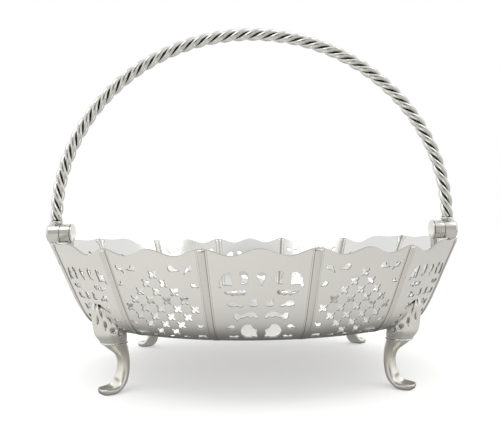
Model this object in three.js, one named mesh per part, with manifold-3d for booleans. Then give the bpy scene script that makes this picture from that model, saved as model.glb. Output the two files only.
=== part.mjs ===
// Oval pierced basket on four cabriole feet, with a rope-twist handle that swings on end hinges.
// Sizes are in millimetres, +Z is up, and the origin is on the table under the middle.
// The long axis of the bowl lies along X, and the handle swings about an axis along X.

import * as THREE from 'three';
import { mergeVertices } from 'three/addons/utils/BufferGeometryUtils.js';
import Module from 'manifold-3d';

const wasm = await Module();
wasm.setup();

// Bowl: an oval rim, a flared side and a round turn under to a flat base
const rimHalfLength = 130;
const rimHalfWidth = 120;
const rimHeight = 80.5;
const waveRise = 1.75;
const baseHeight = 34.4;
const baseInset = 32;
const turnReach = 15;
const flareRun = 16.5;
const flareRise = 37;
const sheet = 1;
const panelCount = 14;
const seamGap = 0.4;
const seatGap = 0.3;

// Pilasters between the panels
const pilasterWidth = 4.8;
const pilasterRelief = 0.9;
const pilasterBack = 0.5;
const pilasterDip = 1;

// Cut-outs of the star panels, in real sizes on the sheet
const starRows = 5;
const starReach = 1.75;
const starSpread = 4.9;
const starBottom = 0.155;
const starTop = 0.775;

// Legs under the wide panels, measured outward from the knee point of the wall
const legPanel = 2;
const kneeStation = 0.185;
const kneeGap = 0.45;
const kneeLobes = 5;
const kneeLobeDepth = 0.07;
const ledgeHeight = 27.5;
const ledgeRadius = 7.2;
const ledgeReach = -3.2;
const ankleReach = -8.9;
const ankleThickness = 6.6;
const ankleWidth = 8.4;
const footWidth = 11.6;
const footReach = 5.1;
const footThickness = 4.6;

// Hinges at the two ends. The seam between the knuckles lies just inside the rim's end.
const hingeRise = 9;
const hingeSetback = 0.5;
const knuckleRadius = 6.4;
const knuckleBevel = 0.7;
const lugLength = 7.7;
const outerLength = 8.8;
const hingeSeam = 0.3;
const pinRadius = 1.5;
const pinFit = 0.08;
const pinCover = 1.8;
const tongueWidth = 4;
const tongueDepth = 9;

// Rope-twist handle: three wires laid round each other
const handleRise = 126.3;
const ropeWires = 3;
const ropeRadius = 4.25;
const ropeLay = 28;
const ropeSteps = 5.5;
const ropeInset = 3.3;
const saddleMargin = 0.25;
const ropeFoot = 1.3;
const strandGap = 0.4;

// Facets
const acrossSteps = 8;
const upSteps = 5;
const roundSides = 12;
const wireSides = 5;
const edgeBow = 2e-4;

const silver = { color: 0xd0cec8, roughness: 0.22, metalness: 1 };
const shade = { color: 0xb9b7ae, roughness: 0.26, metalness: 1 };
const group = new THREE.Group();

function addMesh(name, geometry, finish) {
  const mesh = new THREE.Mesh(geometry, new THREE.MeshStandardMaterial(finish));
  mesh.name = name;
  group.add(mesh);
  return mesh;
}

// Closed bodies from points and faces, turned so that the faces point out

function closedBody(points, faces) {
  let volume = 0;
  for (const [a, b, c] of faces) {
    volume += points[a].dot(new THREE.Vector3().crossVectors(points[b], points[c]));
  }
  const outward = volume > 0 ? faces : faces.map(([a, b, c]) => [a, c, b]);
  const geometry = new THREE.BufferGeometry().setFromPoints(points);
  geometry.setIndex(outward.flat());
  geometry.computeVertexNormals();
  return geometry;
}

// A solid along a row of stations. Each ring has one point for each corner of the section.

function sweep(section, stations, place) {
  const count = section.length;
  const points = [];
  const faces = [];
  for (let station = 0; station < stations; station += 1) {
    section.forEach((corner) => points.push(place(corner, station)));
  }
  for (let station = 0; station + 1 < stations; station += 1) {
    for (let side = 0; side < count; side += 1) {
      const a = station * count + side;
      const b = station * count + (side + 1) % count;
      const c = a + count;
      const d = b + count;
      faces.push([a, b, d], [a, d, c]);
    }
  }
  const last = (stations - 1) * count;
  for (const [a, b, c] of THREE.ShapeUtils.triangulateShape(section, [])) {
    faces.push([a, c, b], [last + a, last + b, last + c]);
  }
  return closedBody(points, faces);
}

function circle(sides, halfAcross = 1, halfUp = 1) {
  return Array.from({ length: sides }, (_, side) => {
    const angle = (2 * Math.PI * (side + 0.5)) / sides;
    return new THREE.Vector2(halfAcross * Math.cos(angle), halfUp * Math.sin(angle));
  });
}

// Joining and cutting

function solid(geometry) {
  const bare = geometry.clone();
  bare.deleteAttribute('normal');
  bare.deleteAttribute('uv');
  const merged = mergeVertices(bare, 1e-4);
  return new wasm.Manifold(new wasm.Mesh({
    numProp: 3,
    vertProperties: Float32Array.from(merged.attributes.position.array),
    triVerts: Uint32Array.from(merged.index.array),
  }));
}

function meshGeometry(manifold) {
  const { numProp, vertProperties, triVerts } = manifold.getMesh();
  const geometry = new THREE.BufferGeometry();
  const positions = new Float32Array((vertProperties.length / numProp) * 3);
  for (let vertex = 0; vertex * numProp < vertProperties.length; vertex += 1) {
    for (let axis = 0; axis < 3; axis += 1) {
      positions[vertex * 3 + axis] = vertProperties[vertex * numProp + axis];
    }
  }
  geometry.setAttribute('position', new THREE.BufferAttribute(positions, 3));
  geometry.setIndex(new THREE.BufferAttribute(triVerts, 1));
  geometry.computeVertexNormals();
  return geometry;
}

// The bowl's surface. Around is a share of the rim's length, from the middle of the front
// toward +X. Up is a share of the profile's length, 0 at the base's edge and 1 at the mean
// rim. Out is along the normal.

const rim = new THREE.EllipseCurve(
  0, 0, rimHalfLength, rimHalfWidth, -Math.PI / 2, (3 * Math.PI) / 2, false, 0);
rim.arcLengthDivisions = 2000;
const rimLength = rim.getLength();
const panelPitch = rimLength / panelCount;
const profile = new THREE.CubicBezierCurve(
  new THREE.Vector2(baseInset, baseHeight),
  new THREE.Vector2(baseInset - turnReach, baseHeight),
  new THREE.Vector2(flareRun, rimHeight - flareRise),
  new THREE.Vector2(0, rimHeight));
profile.arcLengthDivisions = 2000;
const profileLength = profile.getLength();
const flare = new THREE.Vector2(-flareRun, flareRise).normalize();

function rimAngle(around) {
  const wrapped = ((around % 1) + 1) % 1;
  return -Math.PI / 2 + 2 * Math.PI * rim.getUtoTmapping(wrapped, 0);
}

function profilePoint(up) {
  if (up <= 1) return profile.getPointAt(up);
  const beyond = flare.clone().multiplyScalar((up - 1) * profileLength);
  return new THREE.Vector2(0, rimHeight).add(beyond);
}

function profileScale(up) {
  return 1 - profilePoint(up).x / rimHalfLength;
}

function profileSlope(up) {
  const step = 1e-3;
  const low = profilePoint(Math.max(up - step, 0));
  return profilePoint(up + step).sub(low).divideScalar(up + step - Math.max(up - step, 0));
}

function wallNormal(around, up) {
  const angle = rimAngle(around);
  const scale = profileScale(up);
  const slope = profileSlope(up);
  const along = new THREE.Vector3(
    -rimHalfLength * scale * Math.sin(angle), rimHalfWidth * scale * Math.cos(angle), 0);
  const rising = new THREE.Vector3(
    -slope.x * Math.cos(angle),
    -slope.x * Math.sin(angle) * rimHalfWidth / rimHalfLength,
    slope.y);
  return along.cross(rising).normalize();
}

function wallPoint(around, up, out = 0) {
  const angle = rimAngle(around);
  const scale = profileScale(up);
  const point = new THREE.Vector3(
    rimHalfLength * scale * Math.cos(angle),
    rimHalfWidth * scale * Math.sin(angle),
    profilePoint(up).y);
  return point.addScaledVector(wallNormal(around, up), out);
}

// The up value that a height above the mean rim has
function abovePlain(rise) {
  return 1 + rise / (flare.y * profileLength);
}

const upStart = (seamGap * rimHalfLength) / (rimHalfWidth * profileLength);
const edgeShare = 1 - (pilasterWidth + 2 * seamGap) / panelPitch;

// Wavy edge, with a crest at the middle of a panel and one beside each pilaster
function waveTop(across) {
  return abovePlain(waveRise * Math.cos(2 * Math.PI * across));
}

// Pierced panels. A drawing has across from -1 to 1 between pilaster middles, and up.
// Its straight edges bow by a hair, so that no corner in them is lost as being in line.

function panelOutline() {
  const outline = [];
  const topCorner = waveTop(edgeShare);
  const bottomSteps = acrossSteps / 2;
  const bowed = (share) => 4 * edgeBow * share * (1 - share);
  for (let step = 0; step <= bottomSteps; step += 1) {
    const share = step / bottomSteps;
    outline.push(new THREE.Vector2(edgeShare * (2 * share - 1), upStart - bowed(share)));
  }
  const rightEdge = [];
  for (let step = 1; step < upSteps; step += 1) {
    const share = step / upSteps;
    const up = THREE.MathUtils.lerp(upStart, topCorner, share);
    rightEdge.push(new THREE.Vector2(edgeShare + bowed(share), up));
  }
  const leftEdge = rightEdge.map(({ x, y }) => new THREE.Vector2(-x, y)).reverse();
  outline.push(...rightEdge);
  for (let step = 0; step <= acrossSteps; step += 1) {
    const across = edgeShare * (1 - 2 * step / acrossSteps);
    outline.push(new THREE.Vector2(across, waveTop(across)));
  }
  outline.push(...leftEdge);
  return outline;
}

// A cut-out given in real sizes about its middle, turned by a tilt in degrees
function cutOut(across, up, shape, tilt = 0) {
  const turn = THREE.MathUtils.degToRad(tilt);
  const half = (panelPitch / 2) * profileScale(up);
  return shape.map((corner) => {
    const turned = corner.clone().rotateAround(new THREE.Vector2(), turn);
    return new THREE.Vector2(across + turned.x / half, up + turned.y / profileLength);
  });
}

// A drop with its wide end toward +X
function drop(length, width) {
  return [
    new THREE.Vector2(-length / 2, 0),
    new THREE.Vector2(length / 5, -width / 2),
    new THREE.Vector2(length / 2, 0),
    new THREE.Vector2(length / 5, width / 2),
  ];
}

// A quarter of a disc, its corner at the lower inner side
function fan(width, height) {
  return [
    new THREE.Vector2(-width / 2, -height / 3),
    new THREE.Vector2(width / 2, -height / 2),
    new THREE.Vector2(width * 0.45, 0.2 * height),
    new THREE.Vector2(0.1 * width, height / 2),
    new THREE.Vector2(-width * 0.35, 0.35 * height),
  ];
}

// A round opening with a bite on the side of the stem
function bittenRound(halfWidth, halfHeight, bite) {
  const outline = circle(8, halfWidth, halfHeight);
  outline[0].multiplyScalar(1 - bite);
  return outline;
}

function mirrored(outline) {
  return outline.map((corner) => new THREE.Vector2(-corner.x, corner.y)).reverse();
}

function starCuts() {
  const cuts = [];
  const rowRise = (starTop - starBottom) / (2 * starRows - 2);
  for (let row = 0; row < starRows; row += 1) {
    for (let column = 0; column < starRows; column += 1) {
      const across = ((column - row) * starSpread) / (panelPitch / 2);
      const up = starTop - (column + row) * rowRise;
      cuts.push(cutOut(across, up, circle(4, starReach, starReach)));
    }
  }
  const sides = [
    cutOut(0.8, 0.83, drop(5, 2.4), -30),
    cutOut(0.44, 0.83, drop(5, 2.4), 150),
    cutOut(0.8, 0.605, drop(4, 2), 140),
    cutOut(0.78, 0.24, drop(4, 2), -150),
  ];
  return [...cuts, ...sides, ...sides.map(mirrored)];
}

function scrollCuts() {
  const sides = [
    cutOut(0.64, 0.765, fan(6.4, 6.8)),
    cutOut(0.31, 0.775, drop(6.8, 3.4), -80),
    cutOut(0.485, 0.63, drop(10, 3), 180),
    cutOut(0.5, 0.54, drop(7, 2.8)),
    cutOut(0.155, 0.55, drop(4.8, 3.4), 60),
    cutOut(0.3, 0.42, drop(11, 4), 12),
    cutOut(0.24, 0.26, bittenRound(3.9, 5, 0.4), 157.5),
    cutOut(0.63, 0.3, drop(5, 2.2), 165),
    cutOut(0.64, 0.17, drop(4.8, 2), 170),
  ];
  return [cutOut(0, 0.765, drop(6, 3), -90), ...sides, ...sides.map(mirrored)];
}

// Faces of a flat drawing, its inner edges turned until no thin triangle spans the panel
function drawingFaces(outline, holes) {
  const stretch = new THREE.Vector2(panelPitch / 2, profileLength);
  const spots = [outline, ...holes].flat().map((corner) => corner.clone().multiply(stretch));
  const faces = THREE.ShapeUtils.triangulateShape(outline, holes).map(([a, b, c]) => {
    const turn = spots[b].clone().sub(spots[a]).cross(spots[c].clone().sub(spots[a]));
    return turn > 0 ? [a, b, c] : [a, c, b];
  });
  const apexAngle = (apex, left, right) => {
    const toLeft = spots[left].clone().sub(spots[apex]);
    const toRight = spots[right].clone().sub(spots[apex]);
    return Math.acos(THREE.MathUtils.clamp(
      toLeft.dot(toRight) / (toLeft.length() * toRight.length()), -1, 1));
  };
  let turned = true;
  while (turned) {
    turned = false;
    const sides = edgeOwners(faces);
    for (const [key, first] of sides) {
      const [a, b] = key.split('_').map(Number);
      const second = sides.get(`${b}_${a}`);
      if (second === undefined) continue;
      const c = faces[first].find((corner) => corner !== a && corner !== b);
      const d = faces[second].find((corner) => corner !== a && corner !== b);
      if (apexAngle(c, a, b) + apexAngle(d, a, b) > Math.PI + 1e-6) {
        faces[first] = [c, a, d];
        faces[second] = [d, b, c];
        turned = true;
        break;
      }
    }
  }
  return faces;
}

function edgeOwners(faces) {
  const owners = new Map();
  faces.forEach((face, index) => {
    face.forEach((corner, side) => owners.set(`${corner}_${face[(side + 1) % 3]}`, index));
  });
  return owners;
}

// A drawing wrapped on the bowl as a sheet of even thickness
function wrappedSheet(drawing, middle) {
  const { corners, faces } = drawing;
  const layer = (out) => corners.map(({ x, y }) => {
    return wallPoint((middle + x / 2) / panelCount, y, out);
  });
  const points = [...layer(sheet / 2), ...layer(-sheet / 2)];
  const back = corners.length;
  const all = faces.flatMap(([a, b, c]) => [[a, b, c], [back + a, back + c, back + b]]);
  const owners = edgeOwners(faces);
  for (const key of owners.keys()) {
    const [a, b] = key.split('_').map(Number);
    if (!owners.has(`${b}_${a}`)) all.push([b, a, back + a], [b, back + a, back + b]);
  }
  return closedBody(points, all);
}

function drawing(holes) {
  const outline = panelOutline();
  return { corners: [outline, ...holes].flat(), faces: drawingFaces(outline, holes) };
}

const twoDigits = (number) => String(number).padStart(2, '0');
const starDrawing = drawing(starCuts());
const scrollDrawing = drawing(scrollCuts());

for (let panel = 0; panel < panelCount; panel += 1) {
  // The patterns alternate from the middle of the front and of the back to the ends
  const fromFront = Math.min(panel, panelCount - panel);
  const steps = Math.min(fromFront, panelCount / 2 - fromFront);
  const pattern = steps % 2 === 0 ? scrollDrawing : starDrawing;
  addMesh(`panel_${twoDigits(panel + 1)}`, wrappedSheet(pattern, panel), silver);
}

// Pilasters: a double rib on the outside and a low ridge inside

const halfPilaster = pilasterWidth / 2;
const pilasterSection = [
  new THREE.Vector2(-halfPilaster, -sheet / 2),
  new THREE.Vector2(0, -sheet / 2 - pilasterBack),
  new THREE.Vector2(halfPilaster, -sheet / 2),
  new THREE.Vector2(halfPilaster, sheet / 2),
  new THREE.Vector2(halfPilaster / 2, sheet / 2 + pilasterRelief),
  new THREE.Vector2(0, sheet / 2),
  new THREE.Vector2(-halfPilaster / 2, sheet / 2 + pilasterRelief),
  new THREE.Vector2(-halfPilaster, sheet / 2),
];
const pilasterTop = abovePlain(waveRise - pilasterDip);

for (let pilaster = 0; pilaster < panelCount; pilaster += 1) {
  const geometry = sweep(pilasterSection, upSteps, (corner, station) => {
    const share = station / (upSteps - 1);
    const up = THREE.MathUtils.lerp(upStart, pilasterTop, share);
    return wallPoint((pilaster + 0.5) / panelCount + corner.x / rimLength, up, corner.y);
  });
  addMesh(`pilaster_${twoDigits(pilaster + 1)}`, geometry, silver);
}

// Base plate inside the panels' lower edges

const baseScale = profileScale(0);
const baseSides = 4 * panelCount;
const basePlate = sweep(circle(baseSides), 2, (corner, station) => new THREE.Vector3(
  corner.x * rimHalfLength * baseScale,
  corner.y * rimHalfWidth * baseScale,
  baseHeight + (station - 0.5) * sheet));
addMesh('base', basePlate, silver);

// Legs and knees. Each stands at a frame on the wall: outward is level, across is along the wall.

const bodySides = 5 * panelCount;
const bodyStations = 10;
const bodyOuter = solid(sweep(circle(bodySides), bodyStations, (corner, station) => {
  const around = (Math.atan2(corner.y, corner.x) + Math.PI / 2) / (2 * Math.PI);
  const up = station / (bodyStations - 1);
  return wallPoint(around, up, sheet / 2 + kneeGap);
}));

function legFrame(around) {
  const origin = wallPoint(around, kneeStation);
  const outward = wallNormal(around, kneeStation).setZ(0).normalize();
  const across = new THREE.Vector3(0, 0, 1).cross(outward);
  return (reach, side, height) => new THREE.Vector3(origin.x, origin.y, height)
    .addScaledVector(outward, reach)
    .addScaledVector(across, side);
}

// Rings of the knee: reach of the middle and height, both from the ledge, and radius
const kneeRings = [
  [0, 0, ledgeRadius],
  [1.2, 2.9, ledgeRadius * 1.12],
  [2.4, 6, ledgeRadius * 1.25],
  [3, 10.5, ledgeRadius * 1.3],
  [4.2, 15.6, ledgeRadius * 1.22],
  [6.2, 20, ledgeRadius * 0.97],
  [8.5, 23.5, ledgeRadius * 0.56],
];

function kneeSolid(frame) {
  const lobed = circle(3 * kneeLobes);
  const block = sweep(lobed, kneeRings.length, (corner, station) => {
    const [step, rise, radius] = kneeRings[station];
    const share = station / (kneeRings.length - 1);
    const swell = radius * (1 + kneeLobeDepth * share * Math.cos(kneeLobes * corner.angle()));
    return frame(ledgeReach + step + swell * corner.x, swell * corner.y, ledgeHeight + rise);
  });
  return solid(block).subtract(bodyOuter);
}

// Rings of the leg: reach and height of the middle, thickness, width and lean in degrees
const legRings = [
  [ledgeReach, ledgeHeight - seatGap, 2 * ledgeRadius, 2 * ledgeRadius, 0],
  [ledgeReach - 2.4, ledgeHeight - 2.6, ankleThickness * 1.55, ankleWidth * 1.3, -10],
  [ankleReach + 1.2, ledgeHeight - 6, ankleThickness * 1.2, ankleWidth * 1.08, -10],
  [ankleReach, ledgeHeight * 0.6, ankleThickness, ankleWidth, 0],
  [ankleReach + 0.3, ledgeHeight * 0.4, ankleThickness, ankleWidth * 1.04, 8],
  [ankleReach + 1.9, footThickness * 1.35, ankleThickness, ankleWidth * 1.12, 34],
  [ankleReach + 4.5, footThickness * 0.7, footThickness * 1.15, footWidth * 0.92, 62],
  [footReach - 6.3, footThickness * 0.42, footThickness, footWidth, 88],
  [footReach - 2.2, footThickness * 0.41, footThickness * 0.96, footWidth * 0.9, 92],
  [footReach, footThickness * 0.6, footThickness * 0.6, footWidth * 0.6, 100],
];
const legSides = 8;

// The sole is flat, because no corner lies under the table
function legSolid(frame) {
  return sweep(circle(legSides), legRings.length, (corner, station) => {
    const [reach, height, thickness, width, lean] = legRings[station];
    const turn = THREE.MathUtils.degToRad(lean);
    const depth = (corner.x * thickness) / 2;
    return frame(
      reach + depth * Math.cos(turn),
      (corner.y * width) / 2,
      Math.max(height + depth * Math.sin(turn), 0));
  });
}

[1, -1].flatMap((side) => [side * legPanel, panelCount / 2 + side * legPanel])
  .forEach((panel, index) => {
    const frame = legFrame(panel / panelCount);
    addMesh(`knee_${index + 1}`, meshGeometry(kneeSolid(frame)), silver);
    addMesh(`leg_${index + 1}`, legSolid(frame), shade);
  });

// Hinges. The lug and its pin are fixed to the end pilaster, and the outer knuckle turns.

const hingeHeight = rimHeight + hingeRise;
const seamX = rimHalfLength - hingeSetback;

// A turned piece about the hinge axis, from pairs of distance along X and radius
function turnedX(pairs) {
  const outline = pairs.map(([along, radius]) => new THREE.Vector2(radius, along));
  const geometry = new THREE.LatheGeometry(outline, roundSides);
  geometry.rotateZ(-Math.PI / 2);
  geometry.translate(0, 0, hingeHeight);
  return solid(geometry);
}

function blockX(fromX, toX, width, fromZ, toZ) {
  const geometry = new THREE.BoxGeometry(toX - fromX, width, toZ - fromZ);
  geometry.translate((fromX + toX) / 2, 0, (fromZ + toZ) / 2);
  return solid(geometry);
}

function turnedRod(fromX, toX, radius) {
  return turnedX([[fromX, 0], [fromX, radius], [toX, radius], [toX, 0]]);
}

const lugStart = seamX - hingeSeam / 2 - lugLength;
const lugEnd = seamX - hingeSeam / 2;
const outerStart = seamX + hingeSeam / 2;
const outerEnd = outerStart + outerLength;
const boreRadius = (pinRadius + pinFit) / Math.cos(Math.PI / roundSides);
const pinStart = lugStart + pinCover / 2;
const pinEnd = outerEnd - pinCover;
const bore = turnedRod(pinStart - pinFit, pinEnd + pinFit, boreRadius);

// The lug's tongue runs down inside the end pilaster, flush with the lug's inner end
const tongueTop = hingeHeight - knuckleRadius / 2;
const tongueBottom = hingeHeight - knuckleRadius - tongueDepth;
const wallAtTongue = rimHalfLength - sheet / 2 - pilasterBack;
const tongueLean = (flareRun / flareRise) * (rimHeight - tongueBottom);
const tongueEnd = wallAtTongue - tongueLean - seatGap;
const lug = turnedX([
  [lugStart, 0],
  [lugStart, knuckleRadius - knuckleBevel],
  [lugStart + knuckleBevel, knuckleRadius],
  [lugEnd - knuckleBevel / 2, knuckleRadius],
  [lugEnd, knuckleRadius - knuckleBevel / 2],
  [lugEnd, 0],
])
  .add(blockX(lugStart, tongueEnd, tongueWidth, tongueBottom, tongueTop))
  .subtract(bore);

// The outer knuckle carries a saddle that reaches over the lug to the rope's foot
const ropeX = seamX + ropeInset;
const saddleBottom = hingeHeight + knuckleRadius + hingeSeam;
const saddleTop = saddleBottom + ropeFoot;
const saddleRadius = ropeRadius + saddleMargin;
const saddleDisc = new THREE.CylinderGeometry(
  saddleRadius, saddleRadius, ropeFoot, roundSides);
saddleDisc.rotateX(Math.PI / 2);
saddleDisc.translate(ropeX, 0, (saddleBottom + saddleTop) / 2);
const saddleEnd = ropeX + saddleRadius * Math.SQRT1_2;
const outerKnuckle = turnedX([
  [outerStart, 0],
  [outerStart, knuckleRadius - knuckleBevel / 2],
  [outerStart + knuckleBevel / 2, knuckleRadius],
  [outerEnd - 2 * knuckleBevel, knuckleRadius],
  [outerEnd - knuckleBevel, knuckleRadius - knuckleBevel / 2],
  [outerEnd, knuckleRadius - 2.5 * knuckleBevel],
  [outerEnd, 0],
])
  .add(blockX(outerStart, saddleEnd, saddleRadius, hingeHeight, saddleTop))
  .add(solid(saddleDisc))
  .subtract(bore);

const pin = turnedRod(pinStart, pinEnd, pinRadius);

const ends = { right: 1, left: -1 };
for (const [name, direction] of Object.entries(ends)) {
  const turned = (manifold) => {
    const geometry = meshGeometry(manifold);
    return direction > 0 ? geometry : geometry.rotateZ(Math.PI);
  };
  addMesh(`hinge_lug_${name}`, turned(lug), silver);
  addMesh(`hinge_pin_${name}`, turned(pin), shade);
  addMesh(`handle_end_${name}`, turned(outerKnuckle), silver);
}

// Rope-twist handle along half an ellipse from saddle to saddle

const ropeStart = saddleTop + seatGap;
const arch = new THREE.EllipseCurve(0, 0, ropeX, handleRise, Math.PI, 0, true, 0);
arch.arcLengthDivisions = 2000;
const archLength = arch.getLength();
const ropeStations = Math.round((archLength / ropeLay) * ropeSteps) + 1;

// The wires' middles lie on a circle where each wire clears its neighbours by the gap
const wireSpread = Math.sin(Math.PI / ropeWires);
const wireCentre = (ropeRadius + strandGap / 2) / (1 + wireSpread);
const wireRadius = ropeRadius - wireCentre;

function strand(startTurn) {
  return sweep(circle(wireSides, wireRadius, wireRadius), ropeStations, (corner, station) => {
    const share = station / (ropeStations - 1);
    const angle = Math.PI * (1 - arch.getUtoTmapping(share, 0));
    const middle = new THREE.Vector3(
      ropeX * Math.cos(angle), 0, ropeStart + handleRise * Math.sin(angle));
    const away = new THREE.Vector3(
      handleRise * Math.cos(angle), 0, ropeX * Math.sin(angle)).normalize();
    const turn = startTurn + (2 * Math.PI * share * archLength) / ropeLay;
    const lifted = corner.clone().sub(new THREE.Vector2(wireCentre, 0));
    const turned = lifted.rotateAround(new THREE.Vector2(), turn);
    return middle.addScaledVector(away, turned.y).add(new THREE.Vector3(0, -turned.x, 0));
  });
}

for (let wire = 0; wire < ropeWires; wire += 1) {
  addMesh(`handle_strand_${wire + 1}`, strand((2 * Math.PI * wire) / ropeWires), shade);
}

export default group;
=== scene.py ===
# Oval pierced silver basket on cabriole feet, with a rope-twist handle that swings on end hinges.
# Sizes are in metres, +Z is up, and the origin is on the table under the middle of the bowl.

import math

import bpy
import numpy as np
from mathutils import Matrix, Vector
from mathutils.geometry import delaunay_2d_cdt


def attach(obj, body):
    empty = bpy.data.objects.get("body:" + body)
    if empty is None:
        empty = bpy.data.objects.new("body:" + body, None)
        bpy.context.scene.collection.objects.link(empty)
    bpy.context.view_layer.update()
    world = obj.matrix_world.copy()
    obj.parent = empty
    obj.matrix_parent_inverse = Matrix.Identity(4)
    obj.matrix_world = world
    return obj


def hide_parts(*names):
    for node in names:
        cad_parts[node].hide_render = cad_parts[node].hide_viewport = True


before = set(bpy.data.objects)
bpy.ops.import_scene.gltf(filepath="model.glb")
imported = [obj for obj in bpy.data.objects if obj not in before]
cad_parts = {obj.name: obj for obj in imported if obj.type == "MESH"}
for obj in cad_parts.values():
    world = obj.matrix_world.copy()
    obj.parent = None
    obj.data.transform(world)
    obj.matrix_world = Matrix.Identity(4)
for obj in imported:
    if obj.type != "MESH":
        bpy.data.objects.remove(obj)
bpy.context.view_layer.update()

MM = 0.001

# Bowl
RIM_HALF_LENGTH = 130 * MM
RIM_HALF_WIDTH = 120 * MM
RIM_HEIGHT = 80.5 * MM
WAVE_RISE = 1.75 * MM
END_RISE = 3.6 * MM
HINGE_RISE = 2.1 * MM
BASE_HEIGHT = 34.4 * MM
BASE_INSET = 32 * MM
TURN_REACH = 15 * MM
FLARE_RUN = 16.5 * MM
FLARE_RISE = 37 * MM
SHEET = 1 * MM
PANELS = 14

# Pilasters: a wide soft bead between two grooves outside, and two thin ribs inside
PILASTER_WIDTH = 5.6 * MM
PILASTER_RELIEF = 0.7 * MM
PILASTER_GROOVE = 0.25 * MM
PILASTER_BACK = 0.45 * MM
PILASTER_LIFT = 0.05 * MM
PILASTER_DIP = 0.35 * MM
PILASTER_STEPS = 48
PILASTER_RINGS = 56
ARCH_HEIGHT = 2.2 * MM
ARCH_HALF_WIDTH = 5.2 * MM
ARCH_RISE = 0.3 * MM
END_PILASTERS = (3, 10)

# Piercing
STAR_ROWS = 5
STAR_SPREAD = 5.2 * MM
STAR_TOP = 0.8
STAR_BOTTOM = 0.155
SCROLL_SHIFT = 0.03
CHAMFER = 0.14 * MM
MESH_CLEARANCE = 0.5 * MM

# Legs, measured outward from the knee point of the wall
KNEE_STATION = 0.185
LEDGE_HEIGHT = 27.5 * MM
LEDGE_RADIUS = 7.2 * MM
LEDGE_REACH = -3.2 * MM
ANKLE_REACH = -8.9 * MM
ANKLE_THICKNESS = 6.6 * MM
ANKLE_WIDTH = 8.4 * MM
FOOT_WIDTH = 11.6 * MM
FOOT_REACH = 5.1 * MM
FOOT_THICKNESS = 4.6 * MM
DISH_DEPTH = 0.38
SHIN_DEPTH = 0.08
LEAF_STEP = math.radians(27)
RIDGE_DEPTH = 0.15 * MM
HOLLOW_DEPTH = 1.7 * MM
WRINKLE_DEPTH = 0.8 * MM
LIP_DEPTH = 0.6 * MM

# Hinges and handle
HINGE_HEIGHT = RIM_HEIGHT + 9 * MM
SEAM_X = RIM_HALF_LENGTH - 0.5 * MM
HINGE_SEAM = 0.3 * MM
KNUCKLE_RADIUS = 6.4 * MM
LUG_LENGTH = 7.7 * MM
OUTER_LENGTH = 8.8 * MM
PLATE = 0.9 * MM
PLATE_GROOVE = 0.4 * MM
TONGUE_WIDTH = 4 * MM
TONGUE_DEPTH = 9 * MM
ROPE_X = SEAM_X + 3.3 * MM
SADDLE_BOTTOM = HINGE_HEIGHT + KNUCKLE_RADIUS + HINGE_SEAM
SADDLE_TOP = SADDLE_BOTTOM + 1.3 * MM
HANDLE_RISE = 126.3 * MM
ROPE_RADIUS = 4.25 * MM
ROPE_LAY = 28 * MM
ROPE_WIRES = 3
ROPE_PHASE = math.radians(22)
WIRE_CENTRE = 2.39 * MM
SEAT_GAP = 0.3 * MM

# How much brighter or darker than white the surroundings are, as the metal sees them
FLOOR_GLOW = 0.37
SOFT_LEVEL = 0.92
TABLE_LEVEL = 0.76
ROOM_LEVEL = 0.58
DARK_LEVEL = 0.08


# Materials

CLOUD_SCALE = 28.0
POLISH_SCALE = 240.0


def node(tree, kind, **inputs):
    """A new node, with values for its inputs by name."""
    made = tree.nodes.new(kind)
    for name, value in inputs.items():
        made.inputs[name.replace("_", " ")].default_value = value
    return made


def map_range(tree, value, source, target):
    """A node that carries a value from one range over to another."""
    made = node(tree, "ShaderNodeMapRange", From_Min=source[0], From_Max=source[1],
                To_Min=target[0], To_Max=target[1])
    tree.links.new(value, made.inputs["Value"])
    return made


def multiplied(tree, colour, factor):
    """A socket with the colour times the factor."""
    made = tree.nodes.new("ShaderNodeMix")
    made.data_type = "RGBA"
    made.blend_type = "MULTIPLY"
    made.inputs["Factor"].default_value = 1.0
    tree.links.new(colour, made.inputs["A"])
    tree.links.new(factor, made.inputs["B"])
    return made.outputs["Result"]


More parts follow.
